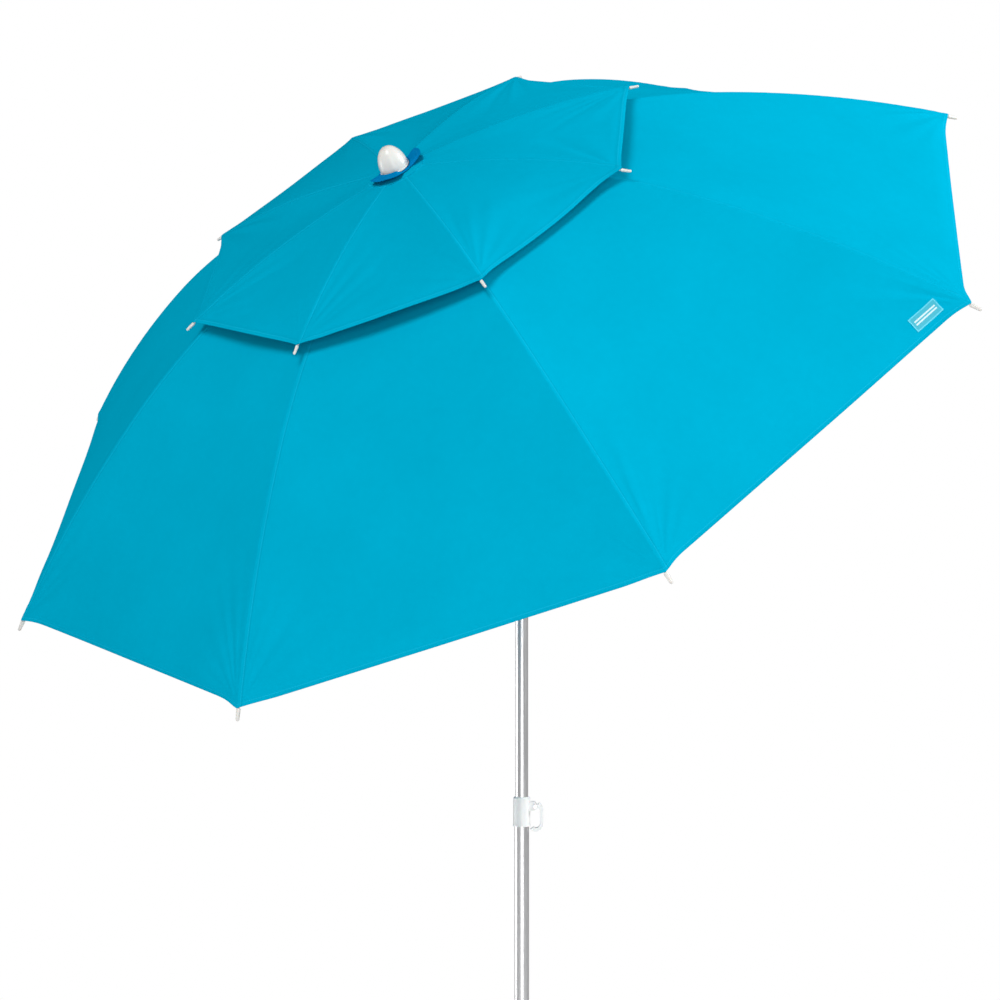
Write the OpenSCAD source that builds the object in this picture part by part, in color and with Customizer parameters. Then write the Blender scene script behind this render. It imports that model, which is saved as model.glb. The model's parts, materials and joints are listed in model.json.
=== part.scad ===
// Tilting beach umbrella with a vented double canopy on eight ribs.
// Origin on the pole axis at the foot of the lower tube, where a ground socket would grip it.
// +Z runs up the pole. The canopy is open and leans towards -Y about a hinge along X.

/* [Canopy] */
// Distance from the crown to a rim corner, square to the mast
canopy_r = 1140; // [1100:1:1160]
// Distance from the crown to a corner of the vent canopy
vent_r = 520; // [500:1:540]
// Distance from the crown to the inner edge of the main canopy
opening_r = 312; // [306:1:340]
// Turn of the first rib round the mast, from +X
rib_phase = 7.3; // [7.3:0.1:8]
// Thickness of each fabric panel's solid
fabric_t = 1; // [0.8:0.1:1.2]
// Gap between neighbouring fabric panels
panel_gap = 0.3; // [0.3:0.1:1]
// Radius of the fabric disc under the finial
disc_r = 62.5; // [58:0.5:66]

/* [Ribs] */
// Diameter of a main rib
rib_d = 5; // [4.5:0.1:5]
// Diameter of a vent rib
vent_rib_d = 4; // [3.6:0.1:4]
// Height of the fabric above the middle of a main rib
rib_to_fabric = 5; // [5:0.1:6]
// Diameter of a strut
strut_d = 4.5; // [4:0.1:4.5]
// Length of a strut between its pivots
strut_l = 300; // [295:1:305]
// Length of a main rib's tip cap
cap_l = 24; // [20:1:28]
// Diameter of a main rib's tip cap
cap_d = 9; // [8:0.5:10]
// Length of a vent rib's tip cap
vent_cap_l = 21; // [18:1:24]
// Diameter of a vent rib's tip cap
vent_cap_d = 7; // [6:0.5:8]

/* [Poles] */
// Outside diameter of the lower tube
lower_d = 32; // [31.9:0.05:32]
// Outside diameter of the upper tube and the mast
upper_d = 28; // [27.9:0.05:28]
// Wall of each tube
tube_wall = 1.2; // [1:0.1:1.3]
// Height of the foot of the collar
collar_z = 800; // [700:5:850]
// Height of the foot of the upper tube
upper_foot_z = 620; // [560:5:640]
// Height of the tilt pivot
tilt_z = 1667; // [1600:1:1700]
// Lean of the mast
tilt = 37.4; // [0:0.1:37.4]
// Distance from the tilt pivot to the crown
crown_h = 650; // [640:1:660]
// Length of the ground spike below the tube
spike_l = 120; // [100:5:160]

/* [Collar] */
// Height of the collar
collar_h = 64; // [60:1:70]
// Outside diameter of the collar
collar_d = 37; // [36.5:0.5:38]
// Direction in which the lever points
lever_azimuth = 41; // [0:1:90]

/* [Hidden] */
$fn = 48;
RIBS = 8;
HALF = 180 / RIBS;

WHITE = "whitesmoke";
STEEL = "lightslategray";
ALUMINIUM = "silver";
CYAN = "deepskyblue";
DEEP = "dodgerblue";

lower_r = lower_d / 2;
lower_bore = lower_r - tube_wall;
upper_r = upper_d / 2;
upper_bore = upper_r - tube_wall;
rib_r = rib_d / 2;
strut_r = strut_d / 2;
vent_rib_r = vent_rib_d / 2;
fit_gap = 0.05;
run_gap = 0.3;
lower_top = collar_z + collar_h - 14;
collar_seat = 0.3;

// Ribs: arcs of [radius, sweep], each tangent to the last, from a pivot with a starting slope
rib_pivot = [30, -16];
rib_start = concat(rib_pivot, [-2.5]);
scale_r = canopy_r / 1140;
rib_arcs = [[1015, 15.4], [1595 * scale_r, 16.1], [2735 * scale_r, 10.6]];
rib_joint = 2;
vent_pivot = [46, 5.8];
vent_start = concat(vent_pivot, [1.9]);
vent_arcs = [[1766 * vent_r / 520, 15.6]];
vent_to_fabric = 4.2;
disc_z = vent_pivot.y + 7.4;
disc_t = 1.2;
finial_z = disc_z + disc_t + 0.6;
stud_r = 5;
pivot_wire_r = 1.25;
eye_r = 3.5;
eye_w = 6;
ear_drop = 10;
clip_w = 5.6;

// Runner, and the place of its pivots when the canopy is open
runner_ring_r = 30;
runner_wire_r = 1;
strut_side = 6;
strut_pivot_x = sqrt(pow(runner_ring_r, 2) - pow(strut_side, 2));
clip_state = after(rib_start, rib_arcs, 1);
ear = [
    clip_state.x - ear_drop * sin(clip_state.z),
    clip_state.y - ear_drop * cos(clip_state.z)
];
strut_rise = sqrt(pow(strut_l, 2) - pow(ear.x - strut_pivot_x, 2));
runner_z = ear.y - strut_rise;
strut_angle = asin(strut_rise / strut_l);
runner_tail = 50;
runner_r = 19;

// Cam lever, in the plane through the pole axis
lever_pin_x = 28.7;
lever_pin_z = collar_z + 43.7;
lever_w = 13;
lever_pin_r = 2.5;

// Tilt joint
pin_r = 3;
knuckle_r = 12;
tongue_w = 15;
cheek_in = 7.8;
cheek_out = 13.4;
head_foot = 16;
mast_foot = 28;
base_neck = 40;
button_z = tilt_z - 23;
button_bore = 3.7;
button_r = 3.4;
spring_wire_r = 0.4;
spring_r = 2.8;
spring_turns = 6;
spring_start = -5;
spring_l = 11;

// Catch under the runner
catch_top = crown_h + runner_z - runner_tail - 3;
catch_h = 18;
catch_w = 5;
catch_out = 2.4;

// State [x, z, slope] at the end of an arc of [radius, sweep] begun at state s
function step(s, arc) = [
    s.x + arc.x * (sin(s.z + arc.y) - sin(s.z)),
    s.y + arc.x * (cos(s.z + arc.y) - cos(s.z)),
    s.z + arc.y
];
// State after the first n arcs
function after(s, arcs, n) = n == 0 ? s : step(after(s, arcs, n - 1), arcs[n - 1]);
// The same arcs with the last one run on by a length
function run_on(arcs, l) = let (last = arcs[len(arcs) - 1]) concat(
    [for (k = [0:1:len(arcs) - 2]) arcs[k]],
    [[last.x, last.y + l / last.x * 180 / PI]]
);
// Point h above the path, where the path is in state s
function above(s, h) = [s.x + h * sin(s.z), s.y + h * cos(s.z)];
// States along the arcs from number first to the last, with n steps in each
function states(s, arcs, first, n) = concat(
    [after(s, arcs, first)],
    [for (k = [first:len(arcs) - 1], j = [1:n])
        step(after(s, arcs, k), [arcs[k].x, arcs[k].y * j / n])]
);
// Two points across half a panel at rib point p: beside the rib's seam, and in the middle of the gore
function across(p) = [for (u = [panel_gap / 2, p.x * sin(HALF) - panel_gap / 2])
    [p.x - u * sin(HALF), u * cos(HALF), p.y]];
function arc_points(c, r, a0, a1, n) = [for (k = [0:n]) c + r * [
    cos(a0 + (a1 - a0) * k / n), sin(a0 + (a1 - a0) * k / n)]];
// Point on the button spring's middle line, at turn t from 0 to spring_turns
function coil(t) = [
    spring_r * cos(360 * t),
    spring_start + spring_l * t / spring_turns,
    spring_r * sin(360 * t)
];

module mast_frame() {
    translate([0, 0, tilt_z]) rotate([tilt, 0, 0]) children();
}

module crown_frame() {
    mast_frame() translate([0, 0, crown_h]) children();
}

module sector(i) {
    crown_frame() rotate([0, 0, rib_phase + 360 / RIBS * (i - 1)]) children();
}

module tube(r, wall, from, to) {
    translate([0, 0, from]) difference() {
        cylinder(r = r, h = to - from);
        translate([0, 0, -1]) cylinder(r = r - wall, h = to - from + 2);
    }
}

module ring(r, wire_r) {
    rotate_extrude() translate([r, 0]) circle(r = wire_r);
}

// Cylinder along Y from y0 to y1
module crosswise(r, y0, y1) {
    translate([0, y1, 0]) rotate([90, 0, 0]) cylinder(r = r, h = y1 - y0);
}

// Bent rods of radius r, one on each arc, that stop short of the pieces which join them
module bent_rod(s, arcs, r) {
    last = len(arcs) - 1;
    for (k = [0:last]) {
        from = after(s, arcs, k);
        centre = above(from, -arcs[k].x);
        short = rib_joint / arcs[k].x * 180 / PI;
        a0 = k > 0 ? short : 0;
        a1 = arcs[k].y - (k < last ? short : 0);
        translate([centre.x, 0, centre.y])
            rotate([90, 0, 0])
            rotate([0, 0, 90 - from.z - a1])
            rotate_extrude(angle = a1 - a0, $fn = 720)
            translate([arcs[k].x, 0]) circle(r = r, $fn = 24);
    }
}

// Tip cap whose mouth is at state s, over a rod of radius rod_r
module tip_cap(s, d, l, rod_r, seat) {
    color(WHITE) translate([s.x, 0, s.y]) rotate([0, 90 + s.z, 0]) difference() {
        union() {
            cylinder(r1 = d / 2, r2 = d * 0.4, h = l - d * 0.4);
            translate([0, 0, l - d * 0.4]) sphere(r = d * 0.4);
        }
        translate([0, 0, -1]) cylinder(r = rod_r + fit_gap, h = seat + 1 + fit_gap);
    }
}

// Half of a fabric panel, from the seam above the states of a rib to the middle of the gore
module half_panel(list, height) {
    rows = [for (s = list) concat(
        across(above(s, height + fabric_t / 2)),
        across(above(s, height - fabric_t / 2))
    )];
    last = 4 * (len(rows) - 1);
    faces = concat(
        [[0, 1, 3, 2], [last + 2, last + 3, last + 1, last]],
        [for (k = [0:4:last - 4]) [k, k + 4, k + 5, k + 1]],
        [for (k = [0:4:last - 4]) [k + 3, k + 7, k + 6, k + 2]],
        [for (k = [0:4:last - 4]) [k, k + 2, k + 6, k + 4]],
        [for (k = [0:4:last - 4]) [k + 5, k + 7, k + 3, k + 1]]
    );
    polyhedron([for (row = rows) each row], faces, convexity = 6);
}

// The two halves that are sewn together along one rib
module panel(list, height) {
    for (side = [0, 1]) mirror([0, side, 0]) half_panel(list, height);
}

// The tube's top is turned down a little, so that the collar seats on a shoulder
module lower_pole() {
    color(ALUMINIUM) difference() {
        tube(lower_r, tube_wall, 0, lower_top);
        tube(lower_r + 1, 1 + collar_seat, collar_z, lower_top + 1);
    }
}

module ground_spike() {
    plug_h = 40;
    shoulder_h = 8;
    flutes = 4;
    color(WHITE) difference() {
        union() {
            cylinder(r = lower_bore - fit_gap, h = plug_h);
            translate([0, 0, -shoulder_h]) cylinder(r = lower_r - 0.5, h = shoulder_h);
            translate([0, 0, -spike_l + 2])
                cylinder(r1 = 2, r2 = lower_r - 1, h = spike_l - shoulder_h - 2);
            translate([0, 0, -spike_l + 2]) sphere(r = 2);
        }
        for (k = [0:flutes - 1]) rotate([0, 0, 45 + 90 * k])
            translate([lower_r + 1, 0, -spike_l + 20]) cylinder(r = 7, h = spike_l - 36);
    }
}

module height_collar() {
    lip = 12;
    ear_x = lever_pin_x - 5;
    ear_t = 4;
    color(WHITE) difference() {
        union() {
            translate([0, 0, collar_z]) cylinder(r = collar_d / 2, h = collar_h - 3);
            translate([0, 0, collar_z + collar_h - 3])
                cylinder(r1 = collar_d / 2, r2 = collar_d / 2 - 2.5, h = 3);
            translate([0, 0, collar_z]) cylinder(r = collar_d / 2 + 0.7, h = 4);
            rotate([0, 0, lever_azimuth]) for (side = [-1, 1])
                translate([0, side * (lever_w / 2 + run_gap + ear_t / 2), 0]) {
                    translate([12, -ear_t / 2, lever_pin_z - 10])
                        cube([ear_x - 6, ear_t, 20]);
                    translate([lever_pin_x, 0, lever_pin_z])
                        crosswise(7, -ear_t / 2, ear_t / 2);
                }
        }
        translate([0, 0, collar_z - 1])
            cylinder(r = lower_r - collar_seat + fit_gap, h = lower_top - collar_z + 1 + fit_gap);
        translate([0, 0, lower_top - 1]) cylinder(r = upper_r + run_gap, h = lip + 10);
        rotate([0, 0, lever_azimuth]) {
            translate([lever_pin_x, 0, lever_pin_z])
                crosswise(lever_pin_r + fit_gap, -20, 20);
            translate([8, -1, lower_top - 30]) cube([30, 2, 60]);
        }
    }
}

// The lever is one loop: a cam round the pin, an arm that bows outwards and a hooked tip
module lock_lever() {
    mid_x = 30;
    top_z = lever_pin_z - collar_z - 6;
    outline = concat(
        arc_points([mid_x, top_z - 1], 16.5, 62, 0, 10),
        arc_points([mid_x + 0.5, 5], 16, 0, -128, 16),
        arc_points([mid_x - 9.4, -6.6], 2, -120, -290, 6),
        arc_points([mid_x + 1, 5.5], 8.6, -128, 0, 14),
        arc_points([mid_x + 1, top_z - 7], 8.8, 0, 90, 8)
    );
    color(WHITE) rotate([0, 0, lever_azimuth]) difference() {
        union() {
            translate([0, lever_w / 2, collar_z]) rotate([90, 0, 0])
                linear_extrude(lever_w) polygon(outline);
            translate([lever_pin_x, 0, lever_pin_z]) crosswise(7.2, -lever_w / 2, lever_w / 2);
        }
        translate([lever_pin_x, 0, lever_pin_z]) crosswise(lever_pin_r + fit_gap, -10, 10);
    }
}

module lever_pin() {
    half = lever_w / 2 + run_gap + 4 + 1;
    color(STEEL) rotate([0, 0, lever_azimuth]) translate([lever_pin_x, 0, lever_pin_z]) {
        crosswise(lever_pin_r, -half, half);
        for (side = [-1, 1]) translate([0, side * (half + 0.7), 0])
            crosswise(lever_pin_r + 1, -0.7, 0.7);
    }
}

module pole_bush() {
    color(WHITE) translate([0, 0, upper_foot_z]) difference() {
        union() {
            translate([0, 0, -22]) cylinder(r = lower_bore - run_gap, h = 22 - run_gap);
            translate([0, 0, -1]) cylinder(r = upper_bore - run_gap, h = 31);
        }
        translate([0, 0, -23]) cylinder(r = 8, h = 60);
    }
}

module upper_pole() {
    color(ALUMINIUM) tube(upper_r, tube_wall, upper_foot_z, tilt_z - base_neck);
}

module tilt_base() {
    floor_z = -14;
    color(WHITE) difference() {
        translate([0, 0, tilt_z]) {
            translate([0, 0, -base_neck - 45]) cylinder(r = upper_bore - fit_gap, h = 46);
            translate([0, 0, -base_neck]) cylinder(r = upper_r + 1, h = 8);
            translate([0, 0, -base_neck + 7]) cylinder(r = upper_r, h = base_neck - 7 + floor_z);
            for (side = [-1, 1]) intersection() {
                translate([side > 0 ? cheek_in : -cheek_out, -knuckle_r, floor_z - 1])
                    union() {
                        cube([cheek_out - cheek_in, 2 * knuckle_r, 1 - floor_z]);
                        translate([0, knuckle_r, 1 - floor_z]) rotate([0, 90, 0])
                            cylinder(r = knuckle_r, h = cheek_out - cheek_in);
                    }
                translate([0, 0, floor_z - 2]) cylinder(r = 17, h = 40);
            }
        }
        translate([-20, 0, tilt_z]) rotate([0, 90, 0]) cylinder(r = pin_r + fit_gap, h = 40);
        translate([0, 0, button_z]) crosswise(button_bore, -20, spring_start + spring_l + 1);
    }
}

module tilt_pin() {
    color(STEEL) translate([0, 0, tilt_z]) rotate([0, 90, 0]) {
        translate([0, 0, -cheek_out - 0.5]) cylinder(r = pin_r, h = 2 * cheek_out + 1);
        for (side = [-1, 1]) translate([0, 0, side * (cheek_out + 1.2)])
            cylinder(r = pin_r + 1.5, h = 1.4, center = true);
    }
}

module tilt_button() {
    reach = upper_r + 4;
    color(WHITE) translate([0, 0, button_z]) {
        crosswise(button_r, -reach, spring_start - spring_wire_r - fit_gap);
        translate([0, -reach, 0]) intersection() {
            sphere(r = button_r);
            translate([0, -button_r, 0]) cube(2 * button_r, center = true);
        }
    }
}

module button_spring() {
    sides = 8;
    per_turn = 12;
    rings = spring_turns * per_turn;
    points = [for (k = [0:rings], j = [0:sides - 1]) let (
            c = coil(k / per_turn),
            out = [cos(360 * k / per_turn), 0, sin(360 * k / per_turn)],
            a = 360 * j / sides
        ) c + spring_wire_r * (cos(a) * out + sin(a) * [0, 1, 0])];
    sides_faces = [for (k = [0:rings - 1], j = [0:sides - 1]) let (
            a = k * sides + j,
            b = k * sides + (j + 1) % sides
        ) [a, b, b + sides, a + sides]];
    ends = [
        [for (j = [sides - 1:-1:0]) j],
        [for (j = [0:sides - 1]) rings * sides + j]
    ];
    color(STEEL) translate([0, 0, button_z])
        polyhedron(points, concat(sides_faces, ends), convexity = 10);
}

module tilt_head() {
    color(WHITE) mast_frame() difference() {
        union() {
            rotate([0, 90, 0]) cylinder(r = knuckle_r, h = tongue_w, center = true);
            translate([-tongue_w / 2, -9, 0]) cube([tongue_w, 18, head_foot + 1]);
            translate([0, 0, head_foot]) cylinder(r = upper_r + 1, h = mast_foot - head_foot);
            translate([0, 0, mast_foot - 1]) cylinder(r = upper_bore - fit_gap, h = 46);
        }
        translate([-20, 0, 0]) rotate([0, 90, 0]) cylinder(r = pin_r + 0.08, h = 40);
    }
}

module mast() {
    hub_seat = -12;
    color(ALUMINIUM) mast_frame() difference() {
        tube(upper_r, tube_wall, mast_foot, crown_h + hub_seat);
        translate([-upper_r - 2, -catch_w / 2 - 0.5, catch_top - catch_h - 1])
            cube([tube_wall + 6, catch_w + 1, catch_h + 2]);
    }
}

// Sprung catch: a wedge through the mast's slot on a short leaf inside
module mast_catch() {
    color(STEEL) mast_frame() rotate([90, 0, 0]) linear_extrude(catch_w, center = true) polygon([
        [-upper_r - catch_out, catch_top],
        [-upper_bore + 1.2, catch_top],
        [-upper_bore + 1.2, catch_top - catch_h + 0.4],
        [-upper_bore - 0.6, catch_top - catch_h + 0.4],
        [-upper_r - 0.6, catch_top - catch_h + 1],
        [-upper_r - catch_out, catch_top - 6]
    ]);
}

module runner() {
    flange_r = 36;
    flange_h = 12;
    color(WHITE) crown_frame() translate([0, 0, runner_z]) difference() {
        union() {
            translate([0, 0, -flange_h / 2]) cylinder(r = flange_r, h = flange_h);
            translate([0, 0, -runner_tail]) cylinder(r = runner_r, h = runner_tail + 10);
            translate([0, 0, -runner_tail]) cylinder(r = runner_r + 3, h = 6);
            translate([0, 0, -flange_h / 2 - 10])
                cylinder(r1 = runner_r, r2 = flange_r - 4, h = 10);
        }
        translate([0, 0, -runner_tail - 1]) cylinder(r = upper_r + run_gap, h = 80);
        ring(runner_ring_r, runner_wire_r + fit_gap);
        for (i = [1:RIBS]) rotate([0, 0, rib_phase + 360 / RIBS * (i - 1)])
            translate([24, strut_side - 2.9, -20]) cube([20, 5.8, 40]);
        rotate([0, 0, 180]) translate([0, -3.6, -runner_tail - 1])
            cube([upper_r + catch_out + 0.8, 7.2, 80]);
    }
}

module runner_wire() {
    color(STEEL) crown_frame() translate([0, 0, runner_z]) ring(runner_ring_r, runner_wire_r);
}

// The rivet at the top ends clear of the rib's clip
module strut(i) {
    foot_r = 3.4;
    top_r = 4;
    rivet_r = 1.6;
    color(STEEL) sector(i) translate([strut_pivot_x, strut_side, runner_z])
        rotate([0, -strut_angle, 0]) difference() {
            union() {
                rotate([0, 90, 0]) cylinder(r = strut_r, h = strut_l, $fn = 24);
                crosswise(foot_r, -2.4, 2.4);
                translate([strut_l, 0, 0]) crosswise(top_r, -2.4, 2.4);
                translate([strut_l, 0, 0]) crosswise(rivet_r, clip_w / 2 - strut_side + run_gap, 3.4);
            }
            crosswise(runner_wire_r + 0.65, -5, 5);
        }
}

module rib(i) {
    ear_half = 1.6;
    ferrule_l = 16;
    seat = 12;
    mid = after(rib_start, rib_arcs, 2);
    end = after(rib_start, rib_arcs, len(rib_arcs));
    sector(i) {
        color(STEEL) difference() {
            union() {
                bent_rod(rib_start, run_on(rib_arcs, seat), rib_r);
                translate([rib_pivot.x, 0, rib_pivot.y])
                    crosswise(eye_r, -eye_w / 2, eye_w / 2);
                translate([mid.x, 0, mid.y]) rotate([0, 90 + mid.z, 0])
                    cylinder(r = rib_r + 0.5, h = ferrule_l, center = true);
                translate([clip_state.x, 0, clip_state.y]) rotate([0, clip_state.z, 0]) {
                    translate([-9, -clip_w / 2, -3.4]) cube([18, clip_w, 6.4]);
                    translate([-3.5, -ear_half, -ear_drop])
                        cube([7, 2 * ear_half, ear_drop]);
                    translate([0, 0, -ear_drop]) crosswise(3.5, -ear_half, ear_half);
                }
            }
            translate([rib_pivot.x, 0, rib_pivot.y])
                crosswise(pivot_wire_r + 0.35, -8, 8);
        }
        tip_cap(end, cap_d, cap_l, rib_r, seat);
    }
}

module vent_rib(i) {
    vent_eye_r = 3;
    vent_eye_w = 5;
    seat = 10;
    end = after(vent_start, vent_arcs, 1);
    sector(i) {
        color(STEEL) difference() {
            union() {
                bent_rod(vent_start, run_on(vent_arcs, seat), vent_rib_r);
                translate([vent_pivot.x, 0, vent_pivot.y])
                    crosswise(vent_eye_r, -vent_eye_w / 2, vent_eye_w / 2);
            }
            translate([vent_pivot.x, 0, vent_pivot.y])
                crosswise(pivot_wire_r + 0.3, -8, 8);
        }
        tip_cap(end, vent_cap_d, vent_cap_l, vent_rib_r, seat);
    }
}

// Solid core on the mast with a slotted flange for each ring of ribs, and a stud for the finial
module crown_hub() {
    core_r = 20;
    core_foot = -36;
    color(WHITE) crown_frame() difference() {
        union() {
            translate([0, 0, core_foot]) cylinder(r = core_r, h = vent_pivot.y - core_foot);
            translate([0, 0, rib_pivot.y - 5]) cylinder(r = rib_pivot.x + 6, h = 10);
            translate([0, 0, vent_pivot.y - 4]) cylinder(r = vent_pivot.x + 5, h = 7.2);
            translate([0, 0, vent_pivot.y]) cylinder(r = stud_r, h = finial_z + 13 - vent_pivot.y);
        }
        translate([0, 0, core_foot - 1]) cylinder(r = upper_r + fit_gap, h = 25 + fit_gap);
        translate([0, 0, rib_pivot.y]) ring(rib_pivot.x, pivot_wire_r + fit_gap);
        translate([0, 0, vent_pivot.y]) ring(vent_pivot.x, pivot_wire_r + fit_gap);
        for (i = [1:RIBS]) rotate([0, 0, rib_phase + 360 / RIBS * (i - 1)]) {
            translate([rib_pivot.x - 5, -3.5, rib_pivot.y - 10]) cube([20, 7, 17]);
            translate([vent_pivot.x - 5, -3, vent_pivot.y - 4.5]) cube([20, 6, 12]);
        }
    }
}

module crown_wire() {
    color(STEEL) crown_frame() {
        translate([0, 0, rib_pivot.y]) ring(rib_pivot.x, pivot_wire_r);
        translate([0, 0, vent_pivot.y]) ring(vent_pivot.x, pivot_wire_r);
    }
}

// Cap over the stud: half an ellipse on a narrow lip
module finial() {
    lip_r = 32;
    lip_h = 3;
    dome_r = 31;
    dome_h = 50;
    socket_r = stud_r + 0.1;
    socket_h = 16;
    outline = concat(
        [[socket_r, 0], [lip_r - 1, 0], [lip_r, 1], [lip_r, lip_h]],
        [for (a = [0:5:90]) [dome_r * cos(a), lip_h + 0.8 + (dome_h - 0.8) * sin(a)]],
        [[0, socket_h], [socket_r, socket_h]]
    );
    color(WHITE) crown_frame() translate([0, 0, finial_z]) rotate_extrude() polygon(outline);
}

module top_disc() {
    color(DEEP) crown_frame() translate([0, 0, disc_z]) difference() {
        cylinder(r = disc_r, h = disc_t, $fn = 96);
        translate([0, 0, -1]) cylinder(r = stud_r + 0.5, h = disc_t + 2);
    }
}

module canopy_panel(i) {
    steps = 7;
    first = step(rib_start, [rib_arcs[0].x, rib_arcs[0].y]);
    all = states(rib_start, rib_arcs, 1, steps);
    inner = step(first, [rib_arcs[1].x, asin((opening_r - first.x) / rib_arcs[1].x)]);
    color(CYAN) sector(i) panel(
        concat([inner], [for (s = all) if (s.x > inner.x + 5) s]), rib_to_fabric);
}

module vent_panel(i) {
    steps = 9;
    color(CYAN) sector(i) panel(states(vent_start, vent_arcs, 0, steps), vent_to_fabric);
}

lower_pole();
ground_spike();
height_collar();
lock_lever();
lever_pin();
pole_bush();
upper_pole();
tilt_base();
tilt_pin();
tilt_button();
button_spring();
tilt_head();
mast();
mast_catch();
runner();
runner_wire();
crown_hub();
crown_wire();
finial();
top_disc();
for (i = [1:RIBS]) {
    rib(i);
    strut(i);
    vent_rib(i);
    canopy_panel(i);
    vent_panel(i);
}
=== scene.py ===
"""Looks of the tilting beach umbrella: cloth, finishes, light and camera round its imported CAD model."""

import json
import math

import bmesh
import bpy
import numpy as np
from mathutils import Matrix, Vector


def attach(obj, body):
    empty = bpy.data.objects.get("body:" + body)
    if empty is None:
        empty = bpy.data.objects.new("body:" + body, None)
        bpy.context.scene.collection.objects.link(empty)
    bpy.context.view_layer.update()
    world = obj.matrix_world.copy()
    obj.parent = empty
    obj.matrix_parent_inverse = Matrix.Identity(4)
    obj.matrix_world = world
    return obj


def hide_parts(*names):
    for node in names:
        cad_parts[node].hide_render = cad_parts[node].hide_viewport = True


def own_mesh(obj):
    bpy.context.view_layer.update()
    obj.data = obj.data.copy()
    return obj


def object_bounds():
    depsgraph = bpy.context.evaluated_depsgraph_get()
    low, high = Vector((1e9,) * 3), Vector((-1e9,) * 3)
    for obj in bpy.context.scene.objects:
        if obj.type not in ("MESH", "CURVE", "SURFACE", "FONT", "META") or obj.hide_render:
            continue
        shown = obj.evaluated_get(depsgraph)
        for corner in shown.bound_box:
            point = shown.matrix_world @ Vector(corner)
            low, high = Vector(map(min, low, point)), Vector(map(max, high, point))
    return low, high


MM = 0.001
RIBS = 8
HALF = math.radians(180 / RIBS)
SEED = 7

# The rods, as in part.scad: pivot (out from the mast axis, up from the crown), starting slope in
# degrees, then arcs of (radius, sweep), and the height of the cloth above the rod's middle.
MAIN_ROD = {
    "pivot": (30 * MM, -16 * MM), "slope": -2.5, "height": 5 * MM,
    "arcs": ((1.015, 15.4), (1.595, 16.1), (2.735, 10.6)),
}
VENT_ROD = {
    "pivot": (46 * MM, 5.8 * MM), "slope": 1.9, "height": 4.2 * MM,
    "arcs": ((1.766, 15.6),),
}
OPENING_R = 312 * MM
DISC_R = 62.5 * MM
DISC_Z = 13.8 * MM
FINIAL_R = 32 * MM
STUD_R = 5 * MM
VENT_START_R = 58 * MM
MIDDLE_R = 62 * MM
MIDDLE_HOLE_R = 8 * MM
MIDDLE_LIFT = 0.9 * MM
MIDDLE_FALL = 0.04
# The badge: its size, its low corner's distance from the seam and from the corners' line, its gap
# over the cloth and its mesh. Then its stripes' heights and half width, their margin, its border and
# its row of stitches.
PATCH_SIZE = (75 * MM, 30 * MM)
PATCH_CORNER = (43 * MM, 28 * MM)
PATCH_GAP = 0.1 * MM
PATCH_ROWS, PATCH_COLUMNS = 13, 31
STRIPE_HEIGHTS, STRIPE_HALF_W = (12 * MM, 18 * MM), 2.2 * MM
STRIPE_MARGIN, BORDER_W = (7.4 * MM, 7.8 * MM), (2.4 * MM, 2.9 * MM)
BADGE_STITCH_AT, BADGE_STITCH_HALF_W, BADGE_STITCH_PITCH = 1.3 * MM, 0.6 * MM, 0.003
CLOTH_T = 0.5 * MM
SEAM_W = 9 * MM
HEM_W = 11 * MM
INNER_HEM_W = 8.6 * MM
STEP_W = 0.8 * MM
STITCH_AT, STITCH_HALF_W, STITCH_PITCH = 7.4 * MM, 0.9 * MM, 3.6 * MM
# The painted shadow beside each seam's lap: its distance from the seam and its half width
SEAM_SHADOW_AT, SEAM_SHADOW_HALF_W = 9.6 * MM, 2.2 * MM
# Distances that keep a round cloth clear of seam and inner hem, so that only its rim is stitched
CLEAR_OF_SEAM, CLEAR_OF_INNER = 1.0, 0.02
# Share of the cloth's width that is added to its flat length: a rough, generous allowance for the
# slanting inner edge and for the cloth turned in at both ends
END_ALLOWANCE = 0.1
CAP_OVERLAP = 1 * MM
RIPPLE_COUNT = 5
ROUND_TURNS = 96
WELD_GAP = 0.02 * MM
NO_AREA = 1e-14

# How far each gore's hem lies inside the line between its two corners, in mm, in the canopy and in
# the vent, and how much further than a taut hem each of the vent's hangs down
HEM_INSET = (6, 8, 7, 6, 8, 7, 1, 10)
VENT_INSET = (4, 5, 4, 4, 5, 4, 1, 17)
VENT_HANG = (0, 0, 0, 0, 0, 0, 0, 15)
CAMERA_AZIMUTH = math.radians(40.86)

CYAN = (0.0, 0.312, 0.477)
DEEP_BLUE = (0.0, 0.155, 0.385)
PATCH_BLUE = (0.04, 0.36, 0.47)

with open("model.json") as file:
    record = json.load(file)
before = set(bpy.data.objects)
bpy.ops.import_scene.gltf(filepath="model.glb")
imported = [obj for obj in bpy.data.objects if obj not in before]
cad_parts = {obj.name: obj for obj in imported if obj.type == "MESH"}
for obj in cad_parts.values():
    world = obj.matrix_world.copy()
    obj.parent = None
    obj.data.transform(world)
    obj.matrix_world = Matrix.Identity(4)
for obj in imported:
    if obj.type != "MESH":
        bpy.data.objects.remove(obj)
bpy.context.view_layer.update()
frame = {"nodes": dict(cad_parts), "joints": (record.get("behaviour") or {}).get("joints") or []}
joints = {j["name"]: j for j in frame["joints"]}
MAST = -Vector(joints["runner_slide"]["axis"]).normalized()
hub_ring = sum((Vector(joints[f"rib_fold_{i}"]["pos_m"]) for i in range(1, RIBS + 1)), Vector()) / RIBS
CROWN = hub_ring - MAIN_ROD["pivot"][1] * MAST


def rib_axes(i):
    """Unit vectors out along rib i and across it, both square to the mast. i may run past RIBS."""
    across = Vector(joints[f"rib_fold_{(i - 1) % RIBS + 1}"]["axis"]).normalized()
    return across.cross(MAST).normalized(), across


def gore_axes(g):
    """Unit vectors out along the middle of gore g, between ribs g and g + 1, and across it."""
    out = (rib_axes(g)[0] + rib_axes(g + 1)[0]).normalized()
    return out, MAST.cross(out).normalized()


# ---------------------------------------------------------------- shapes

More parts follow.
